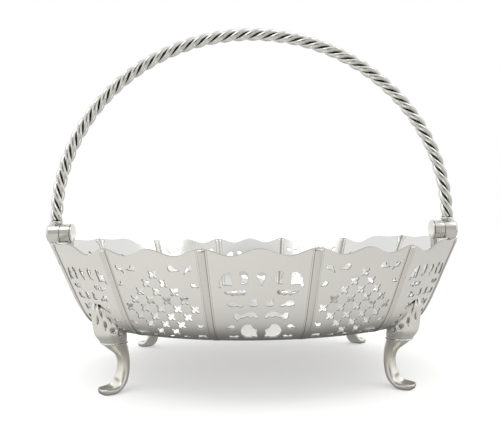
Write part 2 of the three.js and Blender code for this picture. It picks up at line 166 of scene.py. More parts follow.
def silver(name, tone, roughness, grime_and_shade=0.0, reach=1.6 * MM, foot_shade=0.0):
    """Polished silver: a faint cloud in the tone, wipe marks in the gloss, and dark recesses.

    Grime and shade is how dark the recesses are painted: partly tarnish, mostly painted shade where
    little light reaches. Reach is their size. Foot shade is how much darker the lowest part of the
    bowl is painted, a painted reflection of the shadowed table below it.
    """
    material = bpy.data.materials.new(name)
    material.use_nodes = True
    tree = material.node_tree
    shader = tree.nodes["Principled BSDF"]
    shader.inputs["Metallic"].default_value = 1.0
    place = tree.nodes.new("ShaderNodeTexCoord")
    cloud = node(tree, "ShaderNodeTexNoise", Scale=CLOUD_SCALE, Detail=3.0)
    wipe = node(tree, "ShaderNodeTexNoise", Scale=POLISH_SCALE, Detail=4.0)
    for texture in (cloud, wipe):
        tree.links.new(place.outputs["Object"], texture.inputs["Vector"])
    tint = tree.nodes.new("ShaderNodeMix")
    tint.data_type = "RGBA"
    tint.inputs["A"].default_value = (*[0.965 * part for part in tone], 1)
    tint.inputs["B"].default_value = (*[min(1.035 * part, 1) for part in tone], 1)
    tree.links.new(cloud.outputs["Fac"], tint.inputs["Factor"])
    colour = tint.outputs["Result"]
    # Painted shade: recesses darkened by ambient occlusion, partly standing for tarnish
    if grime_and_shade:
        recess = node(tree, "ShaderNodeAmbientOcclusion", Distance=reach)
        recess.samples = 8
        depth = map_range(tree, recess.outputs["AO"], (0.25, 0.85), (1.0 - grime_and_shade, 1.0))
        colour = multiplied(tree, colour, depth.outputs["Result"])
    # Painted shade: the bowl darker toward its foot, a painted reflection of the table in its shadow
    if foot_shade:
        axes = tree.nodes.new("ShaderNodeSeparateXYZ")
        tree.links.new(place.outputs["Object"], axes.inputs["Vector"])
        low = map_range(tree, axes.outputs["Z"], (BASE_HEIGHT - 2 * MM, BASE_HEIGHT + 11 * MM),
                        (1.0 - foot_shade, 1.0))
        low.interpolation_type = "SMOOTHSTEP"
        colour = multiplied(tree, colour, low.outputs["Result"])
    tree.links.new(colour, shader.inputs["Base Color"])
    gloss = map_range(tree, wipe.outputs["Fac"], (0.0, 1.0), (roughness * 0.8, roughness * 1.25))
    tree.links.new(gloss.outputs["Result"], shader.inputs["Roughness"])
    bump = node(tree, "ShaderNodeBump", Strength=0.05, Distance=0.05 * MM)
    tree.links.new(wipe.outputs["Fac"], bump.inputs["Height"])
    tree.links.new(bump.outputs["Normal"], shader.inputs["Normal"])
    return material


# Tone, roughness, painted shade in the recesses (partly tarnish), size of the recesses, and painted shade at
# the foot of the bowl
FINISHES = {
    "outside": ((0.86, 0.85, 0.82), 0.2, 0.3, 1.2 * MM, 0.62),
    # Painted shade: the inside, the rim's edge and the cut walls of the holes are darker copies of the same
    # silver
    "inside": ((0.74, 0.745, 0.725), 0.16, 0.3),
    "rim": ((0.50, 0.49, 0.46), 0.3),
    "cut": ((0.30, 0.29, 0.26), 0.35),
    "pilaster": ((0.76, 0.75, 0.71), 0.2, 0.3, 1.2 * MM, 0.62),
    # Painted shade in the grooves beside each strip, darker on the side that faces the front middle
    "groove_dark_shade": ((0.38, 0.36, 0.32), 0.3, 0.3, 1.6 * MM, 0.4),
    "groove_pale_shade": ((0.60, 0.585, 0.54), 0.3, 0.3, 1.6 * MM, 0.4),
    "base": ((0.80, 0.79, 0.77), 0.22),
    "knee": ((0.85, 0.84, 0.80), 0.24, 0.85, 2 * MM),
    "leg": ((0.87, 0.855, 0.79), 0.34, 0.7, 2 * MM),
    "hinge": ((0.70, 0.69, 0.65), 0.14, 0.5, 1.2 * MM),
    "pin": ((0.62, 0.61, 0.59), 0.2),
    "rope": ((0.70, 0.695, 0.665), 0.1, 0.9, 1.5 * MM),
}
SILVER = {name: silver(f"silver_{name}", *finish) for name, finish in FINISHES.items()}


# Meshes

def make_piece(name, points, faces, materials, body, slot, replaced, normals=None, slots=None):
    """A piece that stands for the replaced nodes. Slots are the numbers of its faces' finishes."""
    mesh = bpy.data.meshes.new(name)
    mesh.from_pydata([tuple(point) for point in points], [], [tuple(face) for face in faces])
    for material in materials:
        mesh.materials.append(SILVER[material])
    if slots is not None:
        mesh.polygons.foreach_set("material_index", np.asarray(slots, dtype=np.int32))
    mesh.polygons.foreach_set("use_smooth", [True] * len(mesh.polygons))
    mesh.validate()
    mesh.update()
    if normals is not None:
        mesh.normals_split_custom_set_from_vertices([tuple(normal) for normal in normals])
    piece = bpy.data.objects.new(name, mesh)
    bpy.context.scene.collection.objects.link(piece)
    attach(piece, body)
    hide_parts(*replaced)
    return piece


def grid_faces(rows, columns, closed=True, start=0):
    """Quads between rows of points. A closed row's last point joins its first."""
    faces = []
    for row in range(rows - 1):
        for column in range(columns if closed else columns - 1):
            a = start + row * columns + column
            b = start + row * columns + (column + 1) % columns
            faces.append((a, b, b + columns, a + columns))
    return faces


def loft(rings):
    """A closed body through rings of points, with its two ends filled."""
    rings = np.asarray(rings)
    rows, columns = rings.shape[:2]
    faces = grid_faces(rows, columns)
    faces.append(tuple(reversed(range(columns))))
    faces.append(tuple(range((rows - 1) * columns, rows * columns)))
    return rings.reshape(-1, 3), faces


def eased(value, low, high):
    """0 below low and 1 above high, with a smooth step between."""
    share = np.clip((value - low) / (high - low), 0, 1)
    return share * share * (3 - 2 * share)


def between(before, start, end, after, t):
    """A smooth curve's place at share t of the way from start to end, with the places around."""
    return 0.5 * (2 * start + (end - before) * t
                  + (2 * before - 5 * start + 4 * end - after) * t ** 2
                  + (3 * start - before - 3 * end + after) * t ** 3)


def smooth_rows(rows, count):
    """More rows of numbers, on a smooth curve through the rows given."""
    rows = np.asarray(rows, dtype=float)
    padded = np.vstack([2 * rows[0] - rows[1], rows, 2 * rows[-1] - rows[-2]])
    smooth = []
    for place in np.linspace(0, len(rows) - 1, count):
        first = min(int(place), len(rows) - 2)
        smooth.append(between(*padded[first:first + 4], place - first))
    return np.array(smooth)


# The bowl's surface. Around is a share of the rim's length from the middle of the front
# toward +X. Up is a share of the profile's length from the base's edge to the mean rim.

TURN = np.linspace(-math.pi / 2, 3 * math.pi / 2, 4001)
rim_steps = np.hypot(np.diff(RIM_HALF_LENGTH * np.cos(TURN)), np.diff(RIM_HALF_WIDTH * np.sin(TURN)))
RIM_RUN = np.concatenate([[0], np.cumsum(rim_steps)])
RIM_LENGTH = RIM_RUN[-1]
PITCH = RIM_LENGTH / PANELS

curve_t = np.linspace(0, 1, 2001)
blend = [(1 - curve_t) ** 3, 3 * (1 - curve_t) ** 2 * curve_t, 3 * (1 - curve_t) * curve_t ** 2]
PROFILE_INSET = blend[0] * BASE_INSET + blend[1] * (BASE_INSET - TURN_REACH) + blend[2] * FLARE_RUN
PROFILE_HEIGHT = ((blend[0] + blend[1]) * BASE_HEIGHT + blend[2] * (RIM_HEIGHT - FLARE_RISE)
                  + curve_t ** 3 * RIM_HEIGHT)
profile_steps = np.hypot(np.diff(PROFILE_INSET), np.diff(PROFILE_HEIGHT))
PROFILE_RUN = np.concatenate([[0], np.cumsum(profile_steps)])
PROFILE_LENGTH = PROFILE_RUN[-1]
FLARE = np.array([-FLARE_RUN, FLARE_RISE]) / math.hypot(FLARE_RUN, FLARE_RISE)


def rim_angle(around):
    return np.interp((np.asarray(around) % 1) * RIM_LENGTH, RIM_RUN, TURN)


def profile_point(up):
    run = np.asarray(up) * PROFILE_LENGTH
    beyond = np.maximum(run - PROFILE_LENGTH, 0)
    inset = np.interp(run, PROFILE_RUN, PROFILE_INSET) + beyond * FLARE[0]
    height = np.interp(run, PROFILE_RUN, PROFILE_HEIGHT) + beyond * FLARE[1]
    return inset, height


def wall_frame(around, up):
    """Points of the middle of the sheet, and the outward normals there."""
    angle = rim_angle(around)
    inset, height = profile_point(up)
    scale = 1 - inset / RIM_HALF_LENGTH
    step = 4e-3
    low = np.maximum(np.asarray(up) - step, 0)
    high = np.asarray(up) + step
    low_inset, low_height = profile_point(low)
    high_inset, high_height = profile_point(high)
    slope_in = high_inset - low_inset
    slope_up = high_height - low_height
    cosine, sine = np.cos(angle), np.sin(angle)
    points = np.stack([RIM_HALF_LENGTH * scale * cosine, RIM_HALF_WIDTH * scale * sine, height], -1)
    along = np.stack([-RIM_HALF_LENGTH * sine, RIM_HALF_WIDTH * cosine, 0 * sine], -1)
    ratio = RIM_HALF_WIDTH / RIM_HALF_LENGTH
    rising = np.stack([-slope_in * cosine, -slope_in * sine * ratio, slope_up], -1)
    normals = np.cross(along, rising)
    normals /= np.linalg.norm(normals, axis=-1, keepdims=True)
    return points, normals


def wall_point(around, up, out=0.0):
    """Points at a distance outward from the middle of the sheet."""
    points, normals = wall_frame(around, up)
    return points + normals * np.asarray(out)[..., None]


def above_plain(rise):
    """The share up the profile that stands a rise over the plain rim."""
    return 1 + rise / (FLARE[1] * PROFILE_LENGTH)


def plain_wave(across):
    """The rise of the rim's plain wave, across a panel from -1 to 1 between pilaster middles."""
    return WAVE_RISE * np.cos(2 * math.pi * across)


def wave_top(across):
    return above_plain(plain_wave(across))


# Outlines of the cut-outs, in millimetres about their middle

def rounded(corners, steps=4):
    """A closed smooth curve through the corners."""
    corners = np.asarray(corners, dtype=float)
    curve = []
    for index in range(len(corners)):
        four = [corners[(index + shift) % len(corners)] for shift in (-1, 0, 1, 2)]
        curve += [between(*four, step / steps) for step in range(steps)]
    return np.array(curve)


def star():
    """Four blunt arms on the diagonals."""
    angle = np.linspace(0, 2 * math.pi, 32, endpoint=False)
    reach = 1.3 + 1.55 * np.abs(np.sin(2 * angle)) ** 1.6
    return np.stack([reach * np.cos(angle), reach * np.sin(angle)], -1)


def comma(length=4.6, width=2.6):
    """A round head toward +X and a tail that bends down toward -X."""
    return rounded(np.array([
        (0.5, 0.05), (0.36, 0.42), (0.1, 0.5), (-0.12, 0.24), (-0.34, -0.02), (-0.5, -0.3),
        (-0.3, -0.22), (-0.08, -0.16), (0.12, -0.42), (0.38, -0.36)]) * (length, width))


def fan():
    """A quarter of a disc with a straight foot, and a tail where its arc comes down."""
    arc = [(3.0 - 5.9 * math.cos(a), -3.4 + 7.2 * math.sin(a)) for a in np.linspace(0.1, 1.45, 10)]
    return np.array(arc + [(3.2, 3.1), (3.2, -3.2), (2.8, -3.5), (-0.6, -3.4), (-1.5, -3.0),
                           (-2.2, -4.3), (-2.9, -4.9), (-3.35, -4.3)])


def half_leaf():
    """Half of a lobed leaf: full toward +X, with a shallow notch in its straight side."""
    return rounded([(-1.6, 3.5), (0.3, 3.6), (1.6, 2.6), (2.0, 0.9), (1.9, -1.2), (1.3, -2.8), (0, -3.5),
                    (-1.7, -3.4), (-1.8, -2.3), (-1.2, -1.2), (-1.1, 0.1), (-1.6, 1.1), (-2.1, 2.4)])


def teardrop():
    """A drop with its point down."""
    side = [(1.0, 3.4), (1.9, 2.5), (2.1, 1.0), (1.5, -0.7), (0.6, -2.3)]
    return rounded([(0, 3.7), *side, (0, -3.7), *[(-x, y) for x, y in reversed(side)]])


def long_leaf():
    return rounded([(5.4, 0.2), (4.6, 1.4), (3.4, 0.7), (2.3, 1.5), (1.2, 0.8), (0.1, 1.7), (-1.2, 0.9),
                    (-2.6, 1.3), (-3.8, 0.5), (-5.2, 0.6), (-4.2, -0.7), (-2.6, -0.9), (-1.2, -1.7),
                    (0.4, -1.1), (1.8, -1.6), (3.4, -0.9), (4.6, -1.1)])


def short_leaf():
    return rounded([(3.9, -1.3), (2.9, -0.3), (1.6, -0.1), (0.5, 1.4), (-1.5, 1.9), (-3.1, 0.9),
                    (-3.6, -0.6), (-2.3, -1.5), (-0.6, -1.6), (1.0, -1.3), (2.6, -1.8)])


def notched_square():
    return rounded([(-1.8, 2.1), (0, 1.6), (1.8, 2.3), (1.7, 0.3), (2.2, -1.8), (0.2, -2.4),
                    (-1.9, -1.9), (-1.4, 0)], 3)


def wing():
    return rounded([(-5.9, 0.0), (-5.6, 1.6), (-4.0, 1.7), (-2.8, 0.7), (-1.0, 1.3), (1.0, 2.4),
                    (3.4, 2.6), (5.2, 1.2), (5.9, -0.9), (4.9, -1.6), (3.6, -0.6), (2.2, -1.3),
                    (0.6, -0.3), (-1.2, -1.2), (-2.8, -1.3), (-4.2, -2.5), (-5.6, -1.8)])


def bitten_round():
    """A round opening. Toward +X the cap of a stem bites it above, and the stem's waist runs down."""
    arc = [(-0.3 + 3.9 * math.cos(a), 5.0 * math.sin(a)) for a in np.radians(np.linspace(78, 300, 14))]
    return rounded([*arc, (3.1, -4.5), (4.2, -4.4), (4.2, -3.2), (3.6, -1.6), (3.7, 0.2), (4.4, 1.4),
                    (3.3, 1.7), (2.2, 2.5), (1.4, 3.6), (1.1, 4.6)], 3)


def slot():
    return rounded([(2.8, 0.4), (1.9, 1.7), (0.9, 1.3), (0, 0.8), (-1.2, 1.4), (-2.7, 0.9), (-2.0, -0.9),
                    (0, -1.2), (1.6, -1.1)], 3)


def placed(across, up, outline, tilt=0.0, mirrored=False):
    """A cut-out of the drawing, whose across runs from -1 to 1 between pilaster middles."""
    turn = math.radians(tilt)
    x = outline[:, 0] * math.cos(turn) - outline[:, 1] * math.sin(turn)
    y = outline[:, 0] * math.sin(turn) + outline[:, 1] * math.cos(turn)
    inset, _ = profile_point(up)
    half = PITCH / 2 * (1 - inset / RIM_HALF_LENGTH)
    points = np.stack([across + x * MM / half, up + y * MM / PROFILE_LENGTH], -1)
    if mirrored:
        points = points * (-1, 1)
    # Every outline runs anticlockwise, so that its cut edges face into the opening
    turning = np.sum(points[:, 0] * np.roll(points[:, 1], -1) - np.roll(points[:, 0], -1) * points[:, 1])
    return points if turning > 0 else points[::-1]


def both_sides(items):
    return [placed(*item, mirrored=side) for side in (False, True) for item in items]


def star_holes():
    """A lattice of stars on the diagonals, with commas above and slots below."""
    holes = []
    rise = (STAR_TOP - STAR_BOTTOM) / (2 * STAR_ROWS - 2)
    for row in range(STAR_ROWS):
        for column in range(STAR_ROWS):
            across = (column - row) * STAR_SPREAD / (PITCH / 2)
            holes.append(placed(across, STAR_TOP - (column + row) * rise, star()))
    return holes + both_sides([
        (0.44, 0.85, comma(6.2, 3.8), 150),
        (0.71, 0.845, comma(6.2, 3.0), 32),
        (0.8, 0.7, comma(4.2, 2.6), 140),
        (0.8, 0.315, comma(4.4, 2.8), -160),
        (0.4, 0.165, slot(), 175),
        (0.76, 0.185, slot(), 183),
    ])


def scroll_holes():
    """Scrolls about the middle of the panel. Being cut by hand, they sit a little to one side."""
    holes = [placed(0, 0.765, teardrop())] + both_sides([
        (-0.655, 0.765, fan()),
        (-0.31, 0.775, half_leaf()),
        (-0.49, 0.64, long_leaf()),
        (-0.5, 0.535, short_leaf()),
        (-0.155, 0.55, notched_square()),
        (-0.3, 0.42, wing()),
        (-0.245, 0.255, bitten_round()),
        (-0.63, 0.305, comma(5.0, 2.8), 10),
        (-0.58, 0.185, slot()),
    ])
    return [hole + (SCROLL_SHIFT, 0) for hole in holes]


def panel_edge():
    """The outline of a panel between the middles of its pilasters."""
    side_steps, top_steps, foot_steps = 26, 48, 22
    corner = wave_top(1.0)
    side = 1 - np.cos(np.linspace(0, math.pi / 2, side_steps))
    right = [(1, corner * share) for share in np.linspace(0, 1, side_steps)][:-1]
    top = [(across, wave_top(across)) for across in np.linspace(1, -1, top_steps)][:-1]
    left = [(-1, corner * share) for share in np.linspace(1, 0, side_steps)][:-1]
    foot = [(across, 0.0) for across in np.linspace(-1, 1, foot_steps)][:-1]
    return np.array(foot + right + top + left)


def offset_outline(outline, amount):
    """The outline moved outward by an amount on the sheet, and its outward directions."""
    stretch = np.array([PITCH / 2 * 0.9, PROFILE_LENGTH])
    flat = outline * stretch
    tangent = np.roll(flat, -1, 0) - np.roll(flat, 1, 0)
    tangent /= np.linalg.norm(tangent, axis=1, keepdims=True)
    area = np.sum(flat[:, 0] * np.roll(flat[:, 1], -1) - np.roll(flat[:, 0], -1) * flat[:, 1])
    outward = np.stack([tangent[:, 1], -tangent[:, 0]], -1) * math.copysign(1, area)
    return (flat + outward * amount) / stretch, outward


def inside(point, outline):
    x, y = point
    crossings = 0
    for (x0, y0), (x1, y1) in zip(outline, np.roll(outline, -1, 0)):
        if (y0 > y) != (y1 > y) and x < x0 + (y - y0) * (x1 - x0) / (y1 - y0):
            crossings += 1
    return crossings % 2 == 1


def distance_to(point, outline):
    return np.min(np.hypot(*((outline - point) * (PITCH / 2, PROFILE_LENGTH)).T))


def in_cut_out(spot, cut_outs, clearance=0.0):
    """Whether a spot of the drawing lies in a cut-out, or nearer to one than the clearance."""
    for outline, low, high in cut_outs:
        if np.all(spot > low) and np.all(spot < high):
            if inside(spot, outline) or (clearance and distance_to(spot, outline) < clearance):
                return True
    return False


def panel_drawing(holes):
    """The flat drawing: corners, triangles, and the rings of corners round each cut-out."""
    edge = panel_edge()
    wide = [offset_outline(hole, CHAMFER)[0] for hole in holes]
    rings, count = [], 0
    for outline in (edge, *wide):
        rings.append(np.arange(count, count + len(outline)))
        count += len(outline)
    cut_outs = [(outline, outline.min(0) - 0.02, outline.max(0) + 0.02) for outline in wide]
    filling = []
    for up in (0.012, *np.linspace(0.03, 0.97, 36)):
        for across in np.linspace(-0.965, 0.965, 26):
            spot = np.array([across, up])
            if not in_cut_out(spot, cut_outs, MESH_CLEARANCE):
                filling.append(spot)
    everything = np.vstack([edge, *wide, filling])
    stretch = np.array([PITCH / 2, PROFILE_LENGTH]) / MM
    edges = [(int(ring[i]), int(ring[(i + 1) % len(ring)])) for ring in rings for i in range(len(ring))]
    result = delaunay_2d_cdt([Vector(spot) for spot in everything * stretch], edges, [], 0, 1e-5)
    points = np.array([tuple(spot) for spot in result[0]]) / stretch
    origin = {source: index for index, sources in enumerate(result[3]) for source in sources}
    rings = [np.array([origin[int(corner)] for corner in ring]) for ring in rings]
    triangles = []
    for face in result[2]:
        middle = points[list(face)].mean(0)
        if inside(middle, edge) and not in_cut_out(middle, cut_outs):
            triangles.append(face)
    return points, np.array(triangles), rings, holes


# Toward the two ends the rim sweeps up, and its wave grows flatter. Under the hinge it keeps clear.

def from_end(around):
    """Distance along the rim to the nearer hinge."""
    return np.minimum(abs(around % 1 - 0.25), abs(around % 1 - 0.75)) * RIM_LENGTH


def rim_rise(around, across):
    """How high the rim's edge stands over the plain rim."""
    distance = from_end(around)
    sweep = eased(distance, 95 * MM, 78 * MM)
    swept = plain_wave(across) * (1 - 0.75 * sweep) + END_RISE * sweep
    return HINGE_RISE + (swept - HINGE_RISE) * eased(distance, 5 * MM, 10 * MM)


def swept_up(spots, middle):
    """The drawing with its rim moved from the plain wave to the rim's true height."""
    around = (middle + spots[:, 0] / 2) / PANELS
    lift = rim_rise(around, spots[:, 0]) - plain_wave(spots[:, 0])
    near_rim = eased(spots[:, 1], 0.84, 0.97)
    return spots + np.stack([0 * lift, lift * near_rim / (FLARE[1] * PROFILE_LENGTH)], -1)


PANEL_FINISHES = ["outside", "inside", "rim", "cut"]
OUTSIDE, INSIDE, RIM, CUT = range(4)
NUDGE = 1e-3


def wrap_panel(drawing, middle):
    """Wraps a drawing on the bowl as a sheet whose cut edges are rounded over."""
    points, triangles, rings, holes = drawing
    points = swept_up(points, middle)
    flat_edge = points[rings[0]]
    around = (middle + points[:, 0] / 2) / PANELS
    base, normals = wall_frame(around, points[:, 1])
    count = len(points)
    all_points = [base + normals * SHEET / 2, base - normals * SHEET / 2]
    all_normals = [normals, -normals]
    faces = [tuple(face) for face in triangles] + [tuple(face[::-1] + count) for face in triangles]
    kinds = [OUTSIDE] * len(triangles) + [INSIDE] * len(triangles)
    outlines = [flat_edge, *holes]
    total = 2 * count
    for number, (ring, outline) in enumerate(zip(rings, outlines)):
        spot, normal = wall_frame((middle + outline[:, 0] / 2) / PANELS, outline[:, 1])
        _, outward = offset_outline(outline, 0)
        sign = 1 if number == 0 else -1
        ahead = wall_point((middle + (outline[:, 0] + NUDGE) / 2) / PANELS, outline[:, 1]) - spot
        rise = wall_point((middle + outline[:, 0] / 2) / PANELS, outline[:, 1] + NUDGE) - spot
        ahead /= np.linalg.norm(ahead, axis=1, keepdims=True)
        rise /= np.linalg.norm(rise, axis=1, keepdims=True)
        facing = sign * (ahead * outward[:, :1] + rise * outward[:, 1:])
        shoulder = SHEET / 2 - CHAMFER
        rows = [spot + normal * shoulder, spot - normal * shoulder]
        all_points += rows
        all_normals += [facing, facing]
        size = len(ring)
        first, second = total, total + size
        for i in range(size):
            j = (i + 1) % size
            loops = [(ring[i], ring[j], first + j, first + i),
                     (first + i, first + j, second + j, second + i),
                     (second + i, second + j, ring[j] + count, ring[i] + count)]
            if number == 0:
                loops = [loop[::-1] for loop in loops]
            faces += loops
            # The rim's edge and the middle of each cut wall take darker silver: painted shade for the dark
            # lines along them
            on_rim = number == 0 and outline[i, 1] > 0.9 and outline[j, 1] > 0.9
            kinds += [RIM, RIM, RIM] if on_rim else [OUTSIDE, CUT, INSIDE]
        total += 2 * size
    return np.vstack(all_points), faces, np.vstack(all_normals), kinds


drawings = {"star": panel_drawing(star_holes()), "scroll": panel_drawing(scroll_holes())}
for panel in range(PANELS):
    from_front = min(panel, PANELS - panel)
    steps = min(from_front, PANELS // 2 - from_front)
    pattern = "scroll" if steps % 2 == 0 else "star"
    points, faces, normals, kinds = wrap_panel(drawings[pattern], panel)
    make_piece(f"wall_{panel + 1:02d}", points, faces, PANEL_FINISHES, "basket", "pierced_wall",
               [f"panel_{panel + 1:02d}"], normals, kinds)


# Pilasters

def pilaster_section(relief):
    """The front and then the back of the strip's section, for a share of the full relief."""
    half = PILASTER_WIDTH / 2
    x = np.linspace(half, -half, PILASTER_STEPS)
    share = np.abs(x) / half
    fade = np.clip((1 - share) / 0.1, 0, 1) * relief
    bead = np.cos(np.clip(share / 0.78, 0, 1) * math.pi / 2) ** 0.8
    hollow = np.exp(-((share - 0.82) / 0.15) ** 2)
    front = SHEET / 2 + PILASTER_LIFT + (PILASTER_RELIEF * bead - PILASTER_GROOVE * hollow) * fade
    rib = np.exp(-((share - 0.6) / 0.2) ** 2)
    back = -SHEET / 2 - PILASTER_LIFT - PILASTER_BACK * rib * fade
    return np.array(list(zip(x, front)) + list(zip(x[::-1], back[::-1]))[1:-1])


def groove_sides(section):
    """1 for faces in the groove on the side of the larger x, 2 on the other side, 0 elsewhere."""
    middles = (section + np.roll(section, -1, 0))[:, 0] / PILASTER_WIDTH
    kinds = np.zeros(len(section), dtype=int)
    front = np.arange(len(section)) < PILASTER_STEPS - 1
    kinds[front & (middles > 0.62) & (middles < 1)] = 1
    kinds[front & (middles < -0.62) & (middles > -1)] = 2
    kinds[~front & (np.abs(np.abs(middles) - 0.88) < 0.1)] = 1
    kinds[~front & (np.abs(middles) < 0.3)] = 2
    return kinds


def lens_widening(up, head_middle):
    """How much wider than the strip its lens-shaped head is."""
    lens = math.sqrt(max(1 - ((up - head_middle) * PROFILE_LENGTH / ARCH_HEIGHT) ** 2, 0))
    below = 1.0 if up < head_middle else lens
    return max(below, lens * 2 * ARCH_HALF_WIDTH / PILASTER_WIDTH, 0.1)


plain_section = pilaster_section(1)
for pilaster in range(PANELS):
    rings = []
    middle = (pilaster + 0.5) / PANELS
    top = rim_rise(np.array(middle), 1.0)
    # The strips near the hinges end in a lens-shaped head
    headed = pilaster not in END_PILASTERS and top > WAVE_RISE + 1 * MM
    crown = above_plain(top + (ARCH_RISE if headed else -PILASTER_DIP))
    head_middle = crown - ARCH_HEIGHT / PROFILE_LENGTH
    for up in np.linspace(0.0, crown, PILASTER_RINGS):
        relief = 0.12 + 0.88 * eased(up, 0.06, 0.26) * eased(crown - up, -0.01, 0.03)
        widening = lens_widening(up, head_middle) if headed else 1.0
        section = pilaster_section(relief)
        around = middle + section[:, 0] * widening / RIM_LENGTH
        rings.append(wall_point(around, np.full(len(section), up), section[:, 1]))
    points, faces = loft(rings)
    kinds = groove_sides(plain_section)
    # The groove that faces the front middle gets the darker painted shade. At the hinges both get the paler
    # painted shade.
    if pilaster < PANELS / 2:
        kinds = np.choose(kinds, (0, 2, 1))
    if pilaster in END_PILASTERS:
        kinds = np.where(kinds == 1, 2, kinds)
    slots = [*np.tile(kinds, PILASTER_RINGS - 1), 0, 0]
    make_piece(f"rib_{pilaster + 1:02d}", points, faces, ["pilaster", "groove_dark_shade", "groove_pale_shade"],
               "basket", "pilaster", [f"pilaster_{pilaster + 1:02d}"], slots=slots)


# Base plate

BASE_SHARES = (0.02, 0.3, 0.6, 0.85, 0.97, 1.0)


def base_plate():
    around = np.linspace(0, 1, 168, endpoint=False)
    rings = []
    for side, shares in ((1, BASE_SHARES), (-1, BASE_SHARES[::-1])):
        for share in shares:
            ring = wall_point(around, np.zeros(len(around)))
            ring[:, :2] *= share
            ring[:, 2] = BASE_HEIGHT + side * SHEET / 2
            rings.append(ring)
    return loft(rings)


points, faces = base_plate()
make_piece("floor_plate", points, faces, ["base"], "basket", "base", ["base"])


# Legs and knees, each on a level frame at the knee point of the wall

def leg_frame(panel):
    """Places a point by its reach outward, its side and its height."""
    spot, normal = wall_frame(np.array([panel / PANELS]), np.array([KNEE_STATION]))
    origin = Vector(spot[0])
    outward = Vector((normal[0][0], normal[0][1], 0)).normalized()
    across = Vector((0, 0, 1)).cross(outward)

    def place(reach, side, height):
        return (origin.x + outward.x * reach + across.x * side,
                origin.y + outward.y * reach + across.y * side, height)

    return place, origin, outward, across


def wall_reach(origin, outward, across, side, height):
    """How far out the wall lies from the frame, at that side and height. None under the base."""
    if height < BASE_HEIGHT - SHEET / 2:
        return None
    inset = np.interp(height, PROFILE_HEIGHT, PROFILE_INSET)
    scale = 1 - inset / RIM_HALF_LENGTH
    length = RIM_HALF_LENGTH * scale
    width = RIM_HALF_WIDTH * scale
    px = origin.x + across.x * side
    py = origin.y + across.y * side
    a = (outward.x / length) ** 2 + (outward.y / width) ** 2
    b = 2 * (px * outward.x / length ** 2 + py * outward.y / width ** 2)
    c = (px / length) ** 2 + (py / width) ** 2 - 1
    root = b * b - 4 * a * c
    if root < 0:
        return None
    return (-b + math.sqrt(root)) / (2 * a)


# Rings of the knee: reach of the middle and height, both from the ledge, and radius
KNEE_RINGS = np.array([
    (0, 0, 1), (0.5, 0.9, 1.01), (1.2, 2.9, 1.12), (2.4, 6, 1.25), (3, 10.5, 1.3),
    (4.2, 15.6, 1.22), (6.2, 20, 0.97), (8.5, 23.5, 0.56)]) * (MM, MM, LEDGE_RADIUS)

# Hollows between the leaf's lobes: turn from the outward side in degrees, height over the ledge in
# millimetres, half width in radians, and half length in millimetres
LEAF_HOLLOWS = [(math.radians(turn), height * MM, half_width, half_length * MM)
                for turn, height, half_width, half_length in (
                    (20, 15.2, 0.075, 2.6), (48, 12.2, 0.08, 2.1), (73, 8.6, 0.15, 1.1),
                    (95, 6.6, 0.08, 1.1))]
LEAF_WRINKLES = [math.radians(turn) for turn in (104, 113, 122, 131)]


def from_outward(angle):
    """The turn from the outward side, the same on both sides."""
    return abs((angle + math.pi) % (2 * math.pi) - math.pi)


def leaf_lobe(angle):
    """1 on the ridge of a lobe, -1 between two lobes."""
    return -math.cos(2 * math.pi * (from_outward(angle) - LEAF_HOLLOWS[0][0]) / LEAF_STEP)


def leaf_depth(angle, rise):
    """How deep the carving is: an oval hollow at the foot of each lobe, and soft ribs between."""
    turn = from_outward(angle)
    depth = RIDGE_DEPTH * (1 - leaf_lobe(angle)) * min(rise / (8 * MM), 1)
    for middle, height, half_width, half_length in LEAF_HOLLOWS:
        across = (turn - middle) / half_width
        along = (rise - height) / half_length
        depth += HOLLOW_DEPTH * math.exp(-across ** 2 - along ** 2)
    for middle in LEAF_WRINKLES:
        across = (turn - middle) / 0.045
        along = (rise - 5 * MM) / (2.2 * MM)
        depth += WRINKLE_DEPTH * math.exp(-across ** 2 - along ** 2)
    return depth


def knee_mesh(panel):
    place, origin, outward, across = leg_frame(panel)
    rings = []
    rows = smooth_rows(KNEE_RINGS, 90)
    angles = np.linspace(0, 2 * math.pi, 144, endpoint=False)
    for row, (reach, rise, radius) in enumerate(rows):
        share = row / (len(rows) - 1)
        ring = []
        for angle in angles:
            lip = LIP_DEPTH * math.exp(-((rise / MM - 0.5) / 0.4) ** 2)
            swell = radius - leaf_depth(angle, rise) + lip
            side = swell * math.sin(angle)
            height = LEDGE_HEIGHT + rise + 1.1 * MM * share ** 4 * leaf_lobe(angle)
            out = LEDGE_REACH + reach + swell * math.cos(angle)
            wall = wall_reach(origin, outward, across, side, height)
            if wall is not None:
                out = max(out, wall - 0.2 * MM)
            ring.append(place(out, side, height))
        rings.append(ring)
    return loft(rings)


